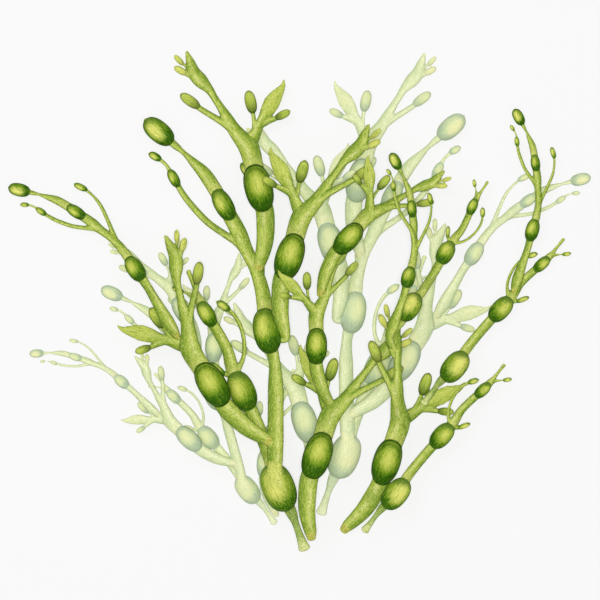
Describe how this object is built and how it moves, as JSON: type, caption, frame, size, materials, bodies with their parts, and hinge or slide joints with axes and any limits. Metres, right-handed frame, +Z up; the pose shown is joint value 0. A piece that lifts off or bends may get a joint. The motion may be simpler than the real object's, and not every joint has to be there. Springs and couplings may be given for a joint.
{
  "type": "knotted wrack seaweed",
  "caption": "Tuft of knotted wrack, a branching olive-green seaweed with egg-shaped air bladders, flat straps, leaf-like blades and small club tips, as picked and lying flat.",
  "frame": {"origin": "middle of the tuft's outline, on the surface that it lies on", "axes": "+X to the right across the fan of fronds, +Y from the cut ends towards the tips, +Z up from the surface"},
  "size_m": [0.3518, 0.3006, 0.0336],
  "materials": {
    "green_wrack": "moist leathery green, darker at the edges and at the bladders' rims",
    "pale_wrack": "moist leathery green, bleached pale"
  },
  "bodies": {
    "root": {"pale_left_main_frond": "pale_wrack", "pale_left_centre_frond": "pale_wrack", "pale_right_main_frond": "pale_wrack", "pale_right_centre_frond": "pale_wrack", "main_frond": "green_wrack", "centre_frond": "green_wrack", "right_frond": "green_wrack", "low_right_frond": "green_wrack"}
  },
  "joints": []
}
